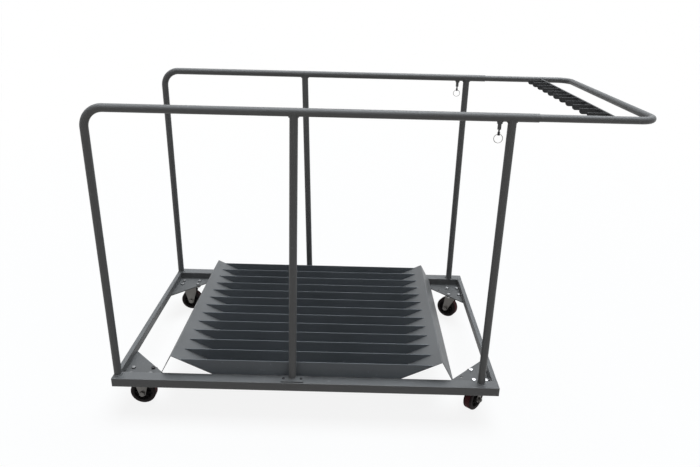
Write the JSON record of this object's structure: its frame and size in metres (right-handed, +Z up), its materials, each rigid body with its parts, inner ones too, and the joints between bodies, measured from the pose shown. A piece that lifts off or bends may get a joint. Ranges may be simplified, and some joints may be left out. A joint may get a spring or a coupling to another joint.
{
  "type": "table trolley",
  "caption": "Tube-framed trolley that carries round folding tables on edge in a divided tray, with a telescopic comb end frame and casters.",
  "frame": {"origin": "on the floor, under the middle of the whole trolley", "axes": "+X along the length towards the comb and end bar, +Y towards the rear side, +Z up"},
  "size_m": [1.695, 0.885, 1.0817],
  "materials": {
    "frame_paint": "dark grey powder coat, satin",
    "tray_paint": "dark grey powder coat, satin",
    "comb_paint": "near black coat, satin",
    "barrel_paint": "dark grey powder coat, satin",
    "zinc": "zinc plated, dulled by use",
    "bolt_zinc": "bright zinc plated",
    "ring_wire": "bright plated wire",
    "black_screw": "black oxide",
    "wheel_core": "matt black moulding",
    "tread": "dark maroon polyurethane, matt"
  },
  "bodies": {
    "frame": {"front_rail": "frame_paint", "rear_rail": "frame_paint", "left_rail": "frame_paint", "right_rail": "frame_paint", "rail_end_caps": "frame_paint", "corner_gussets": "frame_paint", "tray_floor": "frame_paint", "left_ramp": "frame_paint", "right_ramp": "frame_paint", "tray_bearers": "frame_paint", "front_top_rail": "frame_paint", "rear_top_rail": "frame_paint", "front_mid_post": "frame_paint", "rear_mid_post": "frame_paint", "front_right_post": "frame_paint", "rear_right_post": "frame_paint", "post_feet": "frame_paint", "divider_01": "tray_paint", "divider_02": "tray_paint", "divider_03": "tray_paint", "divider_04": "tray_paint", "divider_05": "tray_paint", "divider_06": "tray_paint", "divider_07": "tray_paint", "divider_08": "tray_paint", "divider_09": "tray_paint", "divider_10": "tray_paint", "divider_11": "tray_paint", "divider_12": "tray_paint", "divider_13": "tray_paint", "lock_pin_barrels": "barrel_paint", "foot_screws": "black_screw", "front_rigid_fork": "zinc", "front_swivel_plate": "zinc", "rear_rigid_fork": "zinc", "rear_swivel_plate": "zinc", "rigid_axles": "zinc", "kingpins": "zinc", "caster_bolts": "bolt_zinc", "caster_nuts": "bolt_zinc"},
    "end_slide": {"end_frame": "frame_paint", "comb_bar": "comb_paint", "comb_fins": "comb_paint"},
    "front_pin": {"front_lock_pin": "black_screw"},
    "front_ring": {"front_pull_ring": "ring_wire"},
    "front_swivel": {"front_swivel_fork": "zinc", "front_swivel_axle": "zinc"},
    "front_left_wheel": {"front_rigid_wheel": "wheel_core", "front_rigid_tyre": "tread"},
    "front_right_wheel": {"front_swivel_wheel": "wheel_core", "front_swivel_tyre": "tread"},
    "rear_pin": {"rear_lock_pin": "black_screw"},
    "rear_ring": {"rear_pull_ring": "ring_wire"},
    "rear_swivel": {"rear_swivel_fork": "zinc", "rear_swivel_axle": "zinc"},
    "rear_left_wheel": {"rear_rigid_wheel": "wheel_core", "rear_rigid_tyre": "tread"},
    "rear_right_wheel": {"rear_swivel_wheel": "wheel_core", "rear_swivel_tyre": "tread"}
  },
  "joints": [
    {"name": "end_frame_slide", "type": "slide", "parent": "frame", "child": "end_slide", "axis": [1, 0, 0], "range_m": [-0.15, 0]},
    {"name": "front_pin_slide", "type": "slide", "parent": "frame", "child": "front_pin", "axis": [0, 0, 1], "range_m": [0, 0.007]},
    {"name": "front_ring_swing", "type": "hinge", "parent": "front_pin", "child": "front_ring", "pos_m": [0.3805, -0.4125, 1.0195], "axis": [1, 0, 0], "range_deg": [-85, 85]},
    {"name": "front_left_wheel_spin", "type": "hinge", "parent": "frame", "child": "front_left_wheel", "pos_m": [-0.774, -0.3505, 0.045], "axis": [0, 1, 0], "continuous": true},
    {"name": "front_caster_swivel", "type": "hinge", "parent": "frame", "child": "front_swivel", "pos_m": [0.426, -0.327, 0.122], "axis": [0, 0, 1], "continuous": true},
    {"name": "front_right_wheel_spin", "type": "hinge", "parent": "front_swivel", "child": "front_right_wheel", "pos_m": [0.41262, -0.34186, 0.045], "axis": [0.7431, -0.6691, 0], "continuous": true},
    {"name": "rear_pin_slide", "type": "slide", "parent": "frame", "child": "rear_pin", "axis": [0, 0, 1], "range_m": [0, 0.007]},
    {"name": "rear_ring_swing", "type": "hinge", "parent": "rear_pin", "child": "rear_ring", "pos_m": [0.3805, 0.4125, 1.0195], "axis": [1, 0, 0], "range_deg": [-85, 85]},
    {"name": "rear_left_wheel_spin", "type": "hinge", "parent": "frame", "child": "rear_left_wheel", "pos_m": [-0.774, 0.3505, 0.045], "axis": [0, 1, 0], "continuous": true},
    {"name": "rear_caster_swivel", "type": "hinge", "parent": "frame", "child": "rear_swivel", "pos_m": [0.426, 0.327, 0.122], "axis": [0, 0, 1], "continuous": true},
    {"name": "rear_right_wheel_spin", "type": "hinge", "parent": "rear_swivel", "child": "rear_right_wheel", "pos_m": [0.40962, 0.33847, 0.045], "axis": [-0.5736, -0.8192, 0], "continuous": true}
  ]
}
